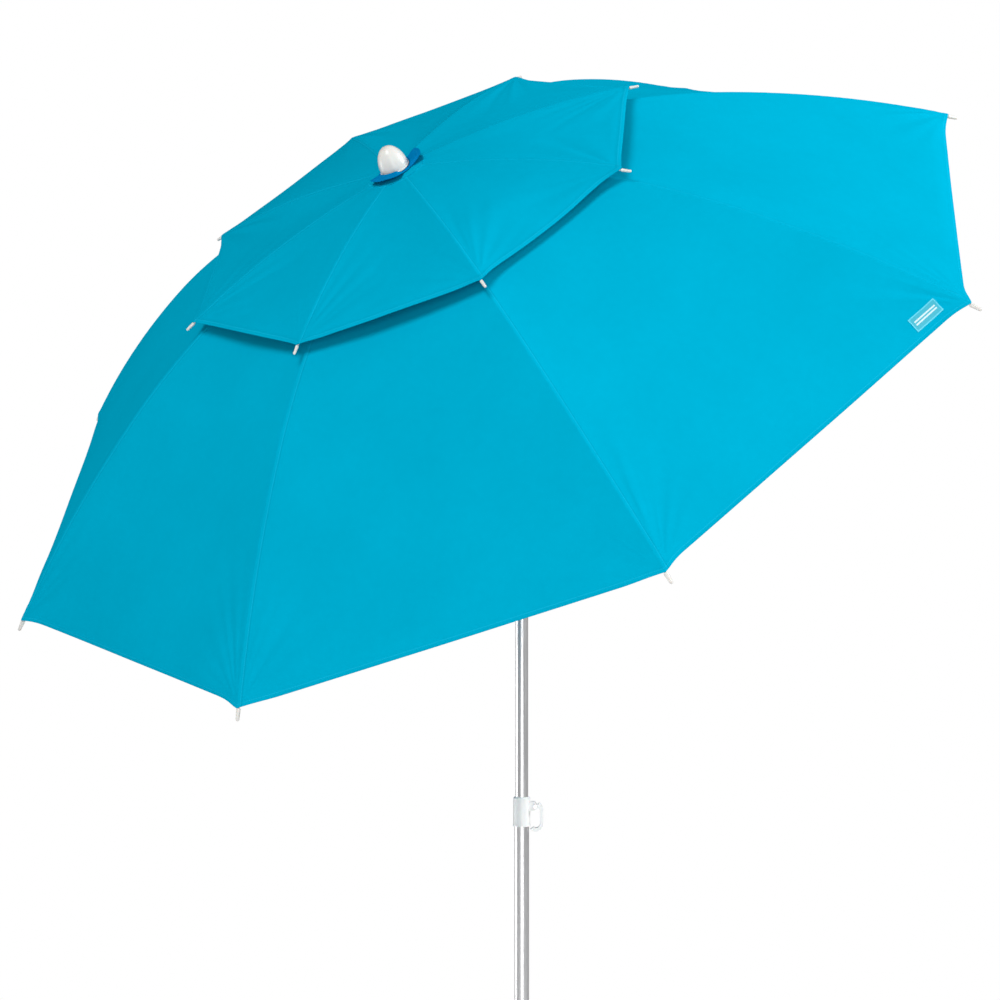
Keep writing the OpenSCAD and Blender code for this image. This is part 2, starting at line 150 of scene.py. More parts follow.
class Path:
    """The cloth's line above a rod, by the distance run along the rod."""

    def __init__(self, rod):
        self.height = rod["height"]
        x, z, slope = *rod["pivot"], math.radians(rod["slope"])
        self.parts, run = [], 0.0
        for radius, sweep in rod["arcs"]:
            turn = math.radians(sweep)
            self.parts.append((run, x, z, slope, radius))
            x += radius * (math.sin(slope + turn) - math.sin(slope))
            z += radius * (math.cos(slope + turn) - math.cos(slope))
            slope += turn
            run += radius * turn
        self.length = run

    def at(self, s):
        """Distance out from the mast, height over the crown, and slope, at run s (an array)."""
        s = np.asarray(s, float)
        x, z, slope = (np.zeros_like(s) for _ in range(3))
        for run, x0, z0, slope0, radius in self.parts:
            on = s >= run - 1e-12
            a = slope0 + (s - run) / radius
            x = np.where(on, x0 + radius * (np.sin(a) - math.sin(slope0)), x)
            z = np.where(on, z0 + radius * (np.cos(a) - math.cos(slope0)), z)
            slope = np.where(on, a, slope)
        return x + self.height * np.sin(slope), z + self.height * np.cos(slope), slope

    def run_to(self, radius):
        """The run at which the cloth's line is that far out."""
        s = np.linspace(0, self.length, 2000)
        return float(np.interp(radius, self.at(s)[0], s))


def smooth(t):
    """Eases from 0 to 1 as t does, and stays there beyond."""
    t = np.clip(t, 0, 1)
    return t * t * (3 - 2 * t)


# Direction of each fold at a corner, in degrees up from the hem, and its share of the full depth
FOLDS = ((16, 0.7), (36, 0.8), (54, 1.0), (68, 1.0), (80, 0.8))
# How folds vary: their turn and width in degrees, how far they reach, their depth, and how many of
# them stand up. They start this far from the corner.
FOLD_TURN, FOLD_WIDTH, FOLD_WIDENS = 3, (2.6, 4.2), 0.05
FOLD_REACH, FOLD_DEPTH, FOLDS_UP, FOLD_START = (0.11, 0.20), (0.7, 1.2), 0.3, 0.03
# How ripples vary, along the ribs and over the gore
RIPPLE_ALONG, RIPPLE_OVER = (4, 14), (1.5, 5)
FULL_TURN = 6.3
# The sag at both ends of the ribs, as a share of that between them
LEAST_SAG = 0.3
# Lengths in the cloth's shape, in metres: sag grows over the first from the crown, a hanging hem
# reaches up the second, an inset hem curves over the third, seam puckers repeat, swell and fade
SAG_FROM_CROWN, HANG_REACH, HEM_EASE = 0.09, 0.16, 0.032
PUCKER_PITCH, PUCKER_SWELL, PUCKER_REACH = 0.033, 0.21, 0.018
# The cloth lies along its rib within this distance, and dips to the rod at the seam itself
BESIDE_SEAM = 0.006
RIDGE_DROP, RIDGE_HALF_W = 0.6 * MM, 0.004


def tip_folds(u, w, rng, strength):
    """Folds that fan out from a corner, u along the hem and w up from it, the steepest by the rib."""
    r = np.hypot(u, w) + 1e-9
    angle = np.degrees(np.arctan2(w, u))
    lift = np.zeros_like(r)
    for middle, share in FOLDS:
        middle += rng.uniform(-FOLD_TURN, FOLD_TURN)
        width = rng.uniform(*FOLD_WIDTH) + FOLD_WIDENS * (90 - middle)
        reach = rng.uniform(*FOLD_REACH)
        size = strength * share * rng.uniform(*FOLD_DEPTH) * (1 if rng.random() < FOLDS_UP else -1)
        along = r * smooth(r / FOLD_START) * np.exp(-((r / reach) ** 2))
        lift += size * along * np.exp(-(((angle - middle) / width) ** 2))
    return lift


def ripples(q, s, rng, size):
    """Low, wide unevenness of taut cloth, zero on both ribs."""
    total = np.zeros_like(q)
    for _ in range(RIPPLE_COUNT):
        along, over = rng.uniform(*RIPPLE_ALONG), rng.uniform(*RIPPLE_OVER)
        total += np.sin(along * s + over * q * math.pi + rng.uniform(0, FULL_TURN))
    return size * total / RIPPLE_COUNT * np.sin(math.pi * np.clip(q, 0, 1)) ** 0.7


def gore_height(g, q, u, s, w, path, style):
    """Height of gore g's cloth over the flat chord between its ribs.
    q runs 0 to 1 from rib g to rib g + 1, u is the distance to the nearer rib, w that to the hem."""
    rng = np.random.default_rng(SEED + 31 * g + style["seed"])
    t = s / path.length
    bow = 4 * q * (1 - q)
    taut = LEAST_SAG + (1 - LEAST_SAG) * np.sin(math.pi * np.clip(t, 0, 1) ** 1.2)
    height = -style["sag"] * bow * taut * smooth(s / SAG_FROM_CROWN)
    height -= style["hang"][(g - 1) % RIBS] * MM * bow * smooth(1 - w / HANG_REACH)
    curl = np.clip(1 - w / style["curl_l"], 0, 1) ** 2
    roll = np.clip(1 - w / style["roll_l"], 0, 1) ** 2
    height -= (style["curl"] * curl + style["roll"] * roll) * smooth(u / style["curl_from"])
    height += ripples(q, s, rng, style["ripple"])
    for by_this_rib in (q <= 0.5, q > 0.5):
        folds = tip_folds(u, w, rng, style["fold"])
        height += np.where(by_this_rib, folds, 0) * smooth((0.5 - np.abs(q - np.round(q))) / 0.1)
    pucker = np.sin(2 * math.pi * s / PUCKER_PITCH + rng.uniform(0, FULL_TURN))
    pucker *= np.sin(2 * math.pi * s / PUCKER_SWELL)
    fade = smooth(u / BESIDE_SEAM) * np.exp(-u / PUCKER_REACH)
    return height + style["pucker"] * pucker * fade


def hem_inset(g, u, style):
    """How far the hem of gore g lies inside its corners' line, at distance u from the nearer rib."""
    depth = style["inset"][(g - 1) % RIBS] * MM
    return depth * (1 - np.exp(-((u / HEM_EASE) ** 1.6)))


MAIN_CLOTH = {
    "seed": 0, "sag": 13 * MM, "curl": 8 * MM, "curl_l": 45 * MM, "curl_from": 90 * MM,
    "roll": 2 * MM, "roll_l": 10 * MM,
    "ripple": 1.2 * MM, "fold": 0.030, "pucker": 0.25 * MM, "inset": HEM_INSET,
    "hang": (0,) * RIBS, "keep": 0.155,
}
VENT_CLOTH = {
    "seed": 500, "sag": 4 * MM, "curl": 3 * MM, "curl_l": 34 * MM, "curl_from": 60 * MM,
    "roll": 1 * MM, "roll_l": 9 * MM,
    "ripple": 0.7 * MM, "fold": 0.018, "pucker": 0.2 * MM, "inset": VENT_INSET,
    "hang": VENT_HANG, "keep": 0.37,
}

SEAM_COLUMNS = np.array((0, 1.2, 2.6, 4.5, 8.2, 9.4, 13, 20)) * MM
HEM_ROWS = np.array((0, 0.8, 3, 10, 11.4, 16, 24)) * MM
INNER_ROWS = np.array((0, 0.8, 3, 8, 9.4, 14)) * MM


def on_cloth(i, side, u, s, last, path, style):
    """Points of rib i's cloth and their normals: u out from its seam on one side, at runs s, where the
    hem lies at the run last."""
    g = i if side > 0 else (i - 2) % RIBS + 1
    out_r, across_r = (np.array(v) for v in rib_axes(i))
    out_g = np.array(gore_axes(g)[0])
    mast = np.array(MAST)
    x, z, slope = path.at(s)
    q = 0.5 * u / (x * math.sin(HALF))
    rise = gore_height(g, q if side > 0 else 1 - q, u, s, last - s, path, style)
    tilt = np.arctan2(np.sin(slope), np.cos(slope) * math.cos(HALF))
    up_gore = np.sin(tilt)[:, None] * out_g + np.cos(tilt)[:, None] * mast
    up_rib = np.sin(slope)[:, None] * out_r + np.cos(slope)[:, None] * mast
    by_rib = smooth(1 - u / BESIDE_SEAM)[:, None]
    up = up_gore * (1 - by_rib) + up_rib * by_rib
    up /= np.linalg.norm(up, axis=1)[:, None]
    chord = side * across_r * math.cos(HALF) - out_r * math.sin(HALF)
    point = np.array(CROWN) + x[:, None] * out_r + z[:, None] * mast + u[:, None] * chord
    ridge = RIDGE_DROP * np.clip(1 - u / RIDGE_HALF_W, 0, 1) ** 2
    return point + (rise - ridge)[:, None] * up, up


def graded(n, growth):
    """n steps from 0 to 1, each longer than the last by that factor, without the 0."""
    steps = np.cumsum(growth ** np.arange(n))
    return steps / steps[-1]


def rib_cloth(name, i, path, start, style, far_rows, far_columns):
    """The cloth that goes with rib i: half a gore on each side of it, as a closed mesh."""
    end = path.length
    columns = graded(far_columns, 1.085)
    up_rows = 1 - graded(far_rows + 1, 1.035)[-2::-1]
    hem = HEM_ROWS[::-1]
    n_rows = len(INNER_ROWS) + far_rows + len(hem)
    grid = []
    for side in (-1, 1):
        g = i if side > 0 else (i - 2) % RIBS + 1
        half = path.at(end)[0] * math.sin(HALF)
        at_hem = np.concatenate((SEAM_COLUMNS, SEAM_COLUMNS[-1] + (half - SEAM_COLUMNS[-1]) * columns))
        last = end - hem_inset(g, at_hem, style)
        rows = []
        for row in range(n_rows):
            far = row - len(INNER_ROWS)
            if far < 0:
                s = start + INNER_ROWS[row] + 0 * last
            elif far < far_rows:
                low, high = start + INNER_ROWS[-1], last - hem[0]
                s = low + (high - low) * up_rows[far]
            else:
                s = last - hem[far - far_rows]
            reach = path.at(s)[0] * math.sin(HALF)
            u = np.minimum(np.concatenate((SEAM_COLUMNS, 0 * columns)), reach)
            first = SEAM_COLUMNS[-1]
            u[len(SEAM_COLUMNS):] = (first + (reach[len(SEAM_COLUMNS):] - first) * columns)
            middle, up = on_cloth(i, side, u, s, last, path, style)
            lap = CLOTH_T * (smooth((SEAM_W - u) / STEP_W) if side > 0 else 0 * u)
            turned = CLOTH_T * np.maximum(smooth((HEM_W - (last - s)) / STEP_W),
                                          smooth((INNER_HEM_W - (s - start)) / STEP_W))
            rows.append((middle, up, u * side, last - s, s - start, lap + turned))
        grid.append(rows)

    def joined(k):
        """One value over the whole grid, the left side mirrored and the ridge kept once."""
        left = np.stack([r[k] for r in grid[0]])[:, ::-1][:, :-1]
        right = np.stack([r[k] for r in grid[1]])
        return np.concatenate((left, right), axis=1)

    middle, up, across_d, hem_d, inner_d, extra = (joined(k) for k in range(6))
    top = middle + (CLOTH_T / 2 + extra)[..., None] * up
    return closed_cloth(name, top, middle - CLOTH_T / 2 * up, across_d, hem_d, inner_d)


def closed_cloth(name, top, bottom, across_d, hem_d, inner_d):
    """A closed mesh from two grids, with the distances that its stitching needs."""
    n, m = top.shape[:2]
    index = np.arange(n * m).reshape(n, m)
    low = index + n * m
    quads = [(index[:-1, :-1], index[1:, :-1], index[1:, 1:], index[:-1, 1:]),
             (low[:-1, :-1], low[:-1, 1:], low[1:, 1:], low[1:, :-1]),
             (index[0, :-1], index[0, 1:], low[0, 1:], low[0, :-1]),
             (index[-1, 1:], index[-1, :-1], low[-1, :-1], low[-1, 1:]),
             (index[1:, 0], index[:-1, 0], low[:-1, 0], low[1:, 0]),
             (index[:-1, -1], index[1:, -1], low[1:, -1], low[:-1, -1])]
    faces = np.concatenate([np.stack([c.ravel() for c in q], -1) for q in quads])
    mesh = bpy.data.meshes.new(name)
    mesh.from_pydata(np.concatenate((top.reshape(-1, 3), bottom.reshape(-1, 3))).tolist(), [],
                     faces.tolist())
    for label, values in (("across_m", across_d), ("hem_m", hem_d), ("inner_m", inner_d)):
        attribute = mesh.attributes.new(label, "FLOAT", "POINT")
        attribute.data.foreach_set("value", np.tile(values.ravel(), 2).astype(np.float32))
    uv = mesh.uv_layers.new(name="cloth")
    flat = np.stack((np.tile(across_d.ravel(), 2), np.tile(hem_d.ravel(), 2)), -1)
    corner = np.zeros(len(mesh.loops), np.int32)
    mesh.loops.foreach_get("vertex_index", corner)
    uv.data.foreach_set("uv", flat[corner].astype(np.float32).ravel())
    mesh.shade_smooth()
    sharp = mesh.attributes.new("sharp_edge", "BOOLEAN", "EDGE")
    skins = 2 * (n - 1) * (m - 1)
    rim_edges = set()
    for polygon in mesh.polygons[skins:]:
        rim_edges.update(polygon.edge_keys)
    sharp.data.foreach_set("value", [edge.key in rim_edges for edge in mesh.edges])
    mesh.validate()
    piece = bpy.data.objects.new(name, mesh)
    bpy.context.scene.collection.objects.link(piece)
    return piece


# ---------------------------------------------------------------- materials

NOISE_ROUGHNESS = 0.55
# Scale of the wave textures that stand for the threads, along and across the canopy and in the badge
WARP_SCALE = 2200 / 6.283
WEFT_SCALE = 2000 / 6.283
BADGE_SCALE = 1600 / 6.283


class Nodes:
    """A material's node tree, with short ways to add to it."""

    def __init__(self, name):
        self.material = bpy.data.materials.new(name)
        self.material.use_nodes = True
        self.tree = self.material.node_tree
        self.tree.nodes.clear()
        self.shader = self.add("ShaderNodeBsdfPrincipled")
        output = self.add("ShaderNodeOutputMaterial")
        self.link(self.shader.outputs[0], output.inputs[0])

    def add(self, kind, **values):
        node = self.tree.nodes.new(kind)
        for key, value in values.items():
            setattr(node, key, value)
        return node

    def link(self, source, target):
        self.tree.links.new(source, target)

    def fixed(self, **values):
        """Numbers and colours that are the same all over, on the shader's own sockets."""
        for key, value in values.items():
            self.shader.inputs[key.replace("_", " ")].default_value = value

    def math(self, operation, a, b=0.0, clamp=False):
        node = self.add("ShaderNodeMath", operation=operation, use_clamp=clamp)
        for socket, value in zip(node.inputs, (a, b)):
            if isinstance(value, (int, float)):
                socket.default_value = value
            else:
                self.link(value, socket)
        return node.outputs[0]

    def coordinates(self, scale=(1, 1, 1), uv=None):
        mapping = self.add("ShaderNodeMapping")
        mapping.inputs["Scale"].default_value = scale
        if uv:
            source = self.add("ShaderNodeUVMap", uv_map=uv).outputs[0]
        else:
            source = self.add("ShaderNodeTexCoord").outputs["Object"]
        self.link(source, mapping.inputs[0])
        return mapping.outputs[0]

    def noise(self, vector, scale, detail):
        node = self.add("ShaderNodeTexNoise")
        self.link(vector, node.inputs["Vector"])
        node.inputs["Scale"].default_value = scale
        node.inputs["Detail"].default_value = detail
        node.inputs["Roughness"].default_value = NOISE_ROUGHNESS
        return node.outputs["Fac"]

    def band(self, vector, scale, direction):
        node = self.add("ShaderNodeTexWave", wave_type="BANDS", bands_direction=direction)
        self.link(vector, node.inputs["Vector"])
        node.inputs["Scale"].default_value = scale
        return node.outputs["Fac"]

    def attribute(self, name):
        return self.add("ShaderNodeAttribute", attribute_name=name).outputs["Fac"]

    def spread(self, factor, low, high, from_low=0.0, from_high=1.0):
        node = self.add("ShaderNodeMapRange")
        self.link(factor, node.inputs["Value"])
        for key, value in (("From Min", from_low), ("From Max", from_high),
                           ("To Min", low), ("To Max", high)):
            node.inputs[key].default_value = value
        return node.outputs[0]

    def mix(self, factor, a, b):
        node = self.add("ShaderNodeMix", data_type="RGBA")
        for socket, value in ((node.inputs[0], factor), (node.inputs[6], a), (node.inputs[7], b)):
            if isinstance(value, tuple):
                socket.default_value = (*value, 1.0)
            elif isinstance(value, (int, float)):
                socket.default_value = value
            else:
                self.link(value, socket)
        return node.outputs[2]

    def bump(self, height, strength, distance):
        node = self.add("ShaderNodeBump")
        node.inputs["Strength"].default_value = strength
        node.inputs["Distance"].default_value = distance
        self.link(height, node.inputs["Height"])
        return node.outputs[0]


def near(m, value, middle, width):
    """1 where value is close to middle, falling to 0 at width from it."""
    away = m.math("ABSOLUTE", m.math("SUBTRACT", value, middle))
    return m.math("SUBTRACT", 1.0, m.math("DIVIDE", away, width), clamp=True)


def cloth_material(name, color):
    """Plain-woven satin polyester, with its seams and hems stitched, and a painted shadow along the edge
    of each seam's lap.
    """
    m = Nodes(name)
    uv = m.coordinates(uv="cloth")
    place = m.coordinates()
    warp = m.band(uv, WARP_SCALE, "X")
    weft = m.band(uv, WEFT_SCALE, "Y")
    weave = m.math("ADD", m.math("MULTIPLY", warp, 0.5), m.math("MULTIPLY", weft, 0.5))
    cloudy = m.noise(place, 5, 4)
    fine = m.noise(place, 60, 4)
    dark = tuple(c * 0.97 for c in color)
    light = tuple(min(1.0, c * 1.03) for c in color)
    base = m.mix(m.spread(cloudy, 0, 1, 0.3, 0.7), dark, light)
    base = m.mix(m.spread(fine, 0, 0.10, 0.35, 0.65), base, tuple(c * 0.8 for c in color))
    base = m.mix(m.spread(weave, 0.10, 0.0), base, tuple(c * 0.7 for c in color))
    height = m.math("MULTIPLY", weave, 0.12)
    height = m.math("ADD", height, m.math("MULTIPLY", fine, 0.35))
    seam, hem, inner = (m.attribute(a) for a in ("across_m", "hem_m", "inner_m"))
    dashes = []
    for distance, along in ((seam, hem), (hem, seam), (inner, seam)):
        wave = m.math("SINE", m.math("MULTIPLY", along, 2 * math.pi / STITCH_PITCH))
        dash = m.spread(wave, 0, 1, -0.5, 0.1)
        row = near(m, distance, STITCH_AT, STITCH_HALF_W)
        dashes.append(m.math("MULTIPLY", row, dash))
    thread = m.math("MAXIMUM", m.math("MAXIMUM", dashes[0], dashes[1]), dashes[2])
    # Painted shadow: darkens the cloth along the edge of the seam's lap
    seam_shadow = near(m, seam, SEAM_SHADOW_AT, SEAM_SHADOW_HALF_W)
    thread_color = tuple(min(1, c * 1.35 + 0.02) for c in color)
    base = m.mix(m.math("MULTIPLY", thread, 0.55), base, thread_color)
    base = m.mix(m.math("MULTIPLY", seam_shadow, 0.35), base, tuple(c * 0.55 for c in color))
    height = m.math("ADD", height, m.math("MULTIPLY", thread, 1.2))
    m.link(base, m.shader.inputs["Base Color"])
    m.link(m.spread(fine, 0.50, 0.62), m.shader.inputs["Roughness"])
    m.link(m.bump(height, 0.35, 0.25 * MM), m.shader.inputs["Normal"])
    m.fixed(Specular_IOR_Level=0.0)
    m.fixed(Sheen_Weight=0.15, Sheen_Roughness=0.45, Sheen_Tint=(0.0, 0.66, 1.0, 1.0))
    return m.material


def patch_material():
    """Woven badge cloth: a paler border with a row of stitches, and two plain stripes."""
    m = Nodes("patch_polyester")
    uv = m.coordinates(uv="cloth")
    weave = m.math("ADD", m.band(uv, BADGE_SCALE, "X"), m.band(uv, BADGE_SCALE, "Y"))
    edge, up, along = (m.attribute(a) for a in ("hem_m", "inner_m", "across_m"))
    inside = m.spread(edge, 0, 1, *BORDER_W)
    base = m.mix(inside, tuple(c * 1.35 for c in PATCH_BLUE), PATCH_BLUE)
    low, high = (near(m, up, at, STRIPE_HALF_W) for at in STRIPE_HEIGHTS)
    stripes = m.math("MAXIMUM", low, high)
    middle = m.spread(edge, 0, 1, *STRIPE_MARGIN)
    striped = m.math("MULTIPLY", m.spread(stripes, 0, 0.8, 0.2, 0.35), middle)
    base = m.mix(striped, base, (0.62, 0.72, 0.72))
    run = m.math("ADD", along, up)
    wave = m.math("SINE", m.math("MULTIPLY", run, 2 * math.pi / BADGE_STITCH_PITCH))
    row = near(m, edge, BADGE_STITCH_AT, BADGE_STITCH_HALF_W)
    thread = m.math("MULTIPLY", row, m.spread(wave, 0, 1, -0.5, 0.1))
    base = m.mix(m.math("MULTIPLY", thread, 0.6), base, (0.45, 0.60, 0.66))
    base = m.mix(m.spread(weave, 0.12, 0.0, 0.0, 2.0), base, tuple(c * 0.6 for c in PATCH_BLUE))
    m.link(base, m.shader.inputs["Base Color"])
    m.link(m.spread(weave, 0.45, 0.6, 0.0, 2.0), m.shader.inputs["Roughness"])
    height = m.math("ADD", m.math("MULTIPLY", weave, 0.1), m.math("MULTIPLY", thread, 1.0))
    m.link(m.bump(height, 0.35, 0.25 * MM), m.shader.inputs["Normal"])
    m.fixed(Specular_IOR_Level=0.35)
    return m.material


def metal_material(name, color, roughness, streak=(420, 420, 5)):
    """Drawn metal: fine lines along the tube, and a little handling wear."""
    m = Nodes(name)
    lines = m.noise(m.coordinates(streak), 1.0, 4)
    worn = m.noise(m.coordinates(), 22, 5)
    base = m.mix(m.spread(lines, 0.2, 0.9, 0.3, 0.7), tuple(c * 0.88 for c in color), color)
    base = m.mix(m.spread(worn, 0, 0.25, 0.5, 0.8), base, tuple(c * 0.72 for c in color))
    m.link(base, m.shader.inputs["Base Color"])
    rough = m.math("ADD", m.spread(lines, roughness - 0.06, roughness + 0.06, 0.3, 0.7),
                   m.spread(worn, 0, 0.10, 0.5, 0.8))
    m.link(rough, m.shader.inputs["Roughness"])
    m.link(m.bump(lines, 0.15, 0.05 * MM), m.shader.inputs["Normal"])
    m.fixed(Metallic=1.0)
    return m.material


def plastic_material(name, color, roughness=0.32):
    """Moulded plastic with a faint texture, paler along its convex edges as a painted highlight, and
    dulled by handling.
    """
    m = Nodes(name)
    place = m.coordinates()
    grain = m.noise(place, 900, 2)
    cloudy = m.noise(place, 30, 4)
    # Painted highlight: the convex edges are made paler
    edge = m.spread(m.add("ShaderNodeNewGeometry").outputs["Pointiness"], 0, 1, 0.50, 0.58)
    base = m.mix(m.spread(cloudy, 0, 1, 0.3, 0.7), tuple(c * 0.95 for c in color), color)
    base = m.mix(m.math("MULTIPLY", edge, 0.4), base, tuple(min(1.0, c * 1.06) for c in color))
    m.link(base, m.shader.inputs["Base Color"])
    m.link(m.spread(cloudy, roughness - 0.05, roughness + 0.10), m.shader.inputs["Roughness"])
    m.link(m.bump(grain, 0.12, 0.06 * MM), m.shader.inputs["Normal"])
    m.fixed(Specular_IOR_Level=0.45, Subsurface_Weight=0.06, Subsurface_Scale=0.004)
    return m.material


def rod_material(name, color, roughness, metallic):
    """Pultruded glass fibre or painted wire, with lengthwise fibres or a fine orange peel."""
    m = Nodes(name)
    place = m.coordinates()
    fibre = m.noise(place, 350, 5)
    patch = m.noise(place, 14, 3)
    base = m.mix(m.spread(fibre, 0, 1, 0.3, 0.7), tuple(c * 0.84 for c in color), color)
    base = m.mix(m.spread(patch, 0, 0.2, 0.45, 0.75), base, tuple(c * 0.7 for c in color))
    m.link(base, m.shader.inputs["Base Color"])
    m.link(m.spread(fibre, roughness - 0.08, roughness + 0.08, 0.3, 0.7), m.shader.inputs["Roughness"])
    m.link(m.bump(fibre, 0.2, 0.08 * MM), m.shader.inputs["Normal"])
    m.fixed(Metallic=metallic)
    return m.material


def floor_material():
    """Matt pale floor, a little uneven in tone."""
    m = Nodes("studio_floor")
    soft = m.noise(m.coordinates(), 3, 3)
    m.link(m.mix(soft, (0.86, 0.86, 0.86), (0.90, 0.90, 0.90)), m.shader.inputs["Base Color"])
    m.fixed(Roughness=0.9, Specular_IOR_Level=0.1)
    return m.material


CLOTH = cloth_material("canopy_polyester", CYAN)
DISC_CLOTH = cloth_material("disc_polyester", DEEP_BLUE)
PATCH = patch_material()
ALUMINIUM = metal_material("satin_aluminium", (0.80, 0.80, 0.81), 0.34)
STEEL = metal_material("plated_steel", (0.56, 0.56, 0.58), 0.28, (300, 300, 300))
WHITE = plastic_material("white_moulding", (0.86, 0.86, 0.85))
IVORY = plastic_material("ivory_moulding", (0.60, 0.59, 0.56), 0.28)
FIBRE = rod_material("glass_fibre", (0.80, 0.80, 0.77), 0.42, 0.0)
PAINTED = rod_material("painted_wire", (0.72, 0.72, 0.73), 0.38, 0.6)

CAD_FINISH = {
    ALUMINIUM: ("lower_pole", "upper_pole", "mast"),
    STEEL: ("lever_pin", "tilt_pin", "button_spring", "mast_catch", "runner_wire", "crown_wire"),
    WHITE: ("ground_spike", "height_collar", "lock_lever", "pole_bush", "tilt_base", "tilt_button",
            "tilt_head", "runner", "crown_hub"),
    IVORY: ("finial",),
    PAINTED: tuple(f"strut_{i}" for i in range(1, RIBS + 1)),
}


def dress(node, *materials):
    mesh = frame["nodes"][node].data
    mesh.materials.clear()
    for material in materials:
        mesh.materials.append(material)


def dress_rod(node, pivot, tip_run):
    """Rod and tip cap are one node: its faces past the end of the cloth are the cap's."""
    dress(node, FIBRE, IVORY)
    for polygon in frame["nodes"][node].data.polygons:
        polygon.material_index = int((polygon.center - pivot).length > tip_run)


# ---------------------------------------------------------------- pieces

def ride_rib(piece, material, body):
    """Cloth that rides on a rib, with its material and a mesh of its own. Its middle hangs in,
    towards the mast, and meets the next rib's cloth there."""
    piece.data.materials.append(material)
    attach(piece, body)
    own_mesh(piece)


def cut_size(path, start):
    """Flat width, length and area of one rib's share of the cloth."""
    s = np.linspace(start, path.length, 400)
    x, _, slope = path.at(s)
    width = 2 * x * math.sin(HALF)
    slant = np.sqrt(1 - (math.sin(HALF) * np.cos(slope)) ** 2)
    area = float(np.sum((width * slant)[:-1] * np.diff(s)))
    return float(width.max()), path.length - start + float(width.max()) * END_ALLOWANCE, area


def make_canopy(kind, rod, start_r, style, far_rows, far_columns):
    path = Path(rod)
    start = path.run_to(start_r)
    width, length, area = cut_size(path, start)
    rib = {"canopy": "rib", "vent": "vent_rib"}[kind]
    hinge = {"canopy": "rib_fold", "vent": "vent_fold"}[kind]
    for i in range(1, RIBS + 1):
        piece = rib_cloth(f"{kind}_cloth_{i}", i, path, start, style, far_rows, far_columns)
        ride_rib(piece, CLOTH, f"{rib}_{i}")
        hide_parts(f"{kind}_panel_{i}")
        out, _ = rib_axes(i)
        x, z, slope = path.at(path.length)
        mouth = CROWN + float(x) * out + float(z) * MAST
        pivot = Vector(joints[f"{hinge}_{i}"]["pos_m"])
        dress_rod(f"{rib}_{i}", pivot, (mouth - pivot).length - CAP_OVERLAP)


def make_patch():
    """Badge sewn on gore 8, near the corner at rib 1, its long side along the hem."""
    path = Path(MAIN_ROD)
    rows = []
    for h in np.linspace(0, PATCH_SIZE[1], PATCH_ROWS):
        t = np.linspace(0, PATCH_SIZE[0], PATCH_COLUMNS)
        u = PATCH_CORNER[0] + t - h * math.tan(HALF)
        s = path.length - PATCH_CORNER[1] - h / math.cos(HALF) + 0 * t
        last = path.length - hem_inset(RIBS, u, MAIN_CLOTH)
        middle, up = on_cloth(1, -1, u, s, last, path, MAIN_CLOTH)
        edge = np.minimum(np.minimum(t, PATCH_SIZE[0] - t), min(h, PATCH_SIZE[1] - h))
        rows.append((middle, up, t, edge, h + 0 * t))
    middle, up, along, edge, high = (np.stack([row[k] for row in rows])[:, ::-1] for k in range(5))
    low = CLOTH_T / 2 + PATCH_GAP
    piece = closed_cloth("patch", middle + (low + CLOTH_T) * up, middle + low * up, along, edge, high)
    ride_rib(piece, PATCH, "rib_1")


def ringed_cloth(name, radii, height, material):
    """Round cloth about the mast, from radii(a) and height(r, a), with its hole round the stud."""
    east = np.array((1.0, 0, 0))
    mast = np.array(MAST)
    north = np.cross(mast, east)
    rings = []
    for k in range(ROUND_TURNS + 1):
        a = 2 * math.pi * k / ROUND_TURNS
        out = math.cos(a) * east + math.sin(a) * north
        r = radii(a)
        rings.append((np.array(CROWN) + r[:, None] * out + height(r, a)[:, None] * mast,
                      r * 0 + CLEAR_OF_SEAM + a * r[-1], r[-1] - r, r - r[0] + CLEAR_OF_INNER))
    points, along, rim, inner = (np.stack([ring[k] for ring in rings], axis=1) for k in range(4))
    up = mast * CLOTH_T / 2
    piece = closed_cloth(name, points + up, points - up, along, rim, inner)
    weld(piece)
    piece.data.materials.append(material)
    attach(piece, "head")
    return piece


# Stretches of the top disc that stand up and show: first and last angle round the mast from +X in
# degrees, and how far they stand up at the finial's foot and at the rim. Between them it is tucked in.
DISC_LOBES = ((236, 324, 9.5 * MM, 9.5 * MM), (20, 84, 6 * MM, 14 * MM))
TUCKED_R = 39 * MM
LOBE_EDGE = math.radians(26)
# Gap round the finial's foot, run over which the disc rises there, and its wavy rim
FOOT_GAP, FOOT_RUN = 0.6 * MM, 4 * MM
RIM_WAVE, RIM_WAVES = 0.5 * MM, 9


def lobe_share(a, first, last):
    """1 inside a lobe of the disc and 0 outside, over a soft edge."""
    middle, half = math.radians((first + last) / 2), math.radians((last - first) / 2)
    away = abs(math.remainder(a - middle, 2 * math.pi)) - half
    return float(smooth(0.5 - away / LOBE_EDGE))


def disc_radii(a):
    share = max(lobe_share(a, first, last) for first, last, _, _ in DISC_LOBES)
    rim = TUCKED_R + (DISC_R - TUCKED_R) * share
    under = np.linspace(STUD_R + 0.5 * MM, FINIAL_R + FOOT_GAP, 7)
    return np.concatenate((under, np.linspace(FINIAL_R + 1.2 * MM, rim, 20)))


def disc_height(r, a):
    """The top disc's cloth lies flat under the finial and bunches up against it in its lobes."""
    rise = smooth((r - FINIAL_R - FOOT_GAP) / FOOT_RUN)
    out = smooth((r - FINIAL_R) / (DISC_R - FINIAL_R))
    height = DISC_Z - 0.6 * MM * rise
    for first, last, at_foot, at_rim in DISC_LOBES:
        height = height + lobe_share(a, first, last) * (at_foot * rise + (at_rim - at_foot) * out)
    return height + RIM_WAVE * np.sin(RIM_WAVES * a) * out


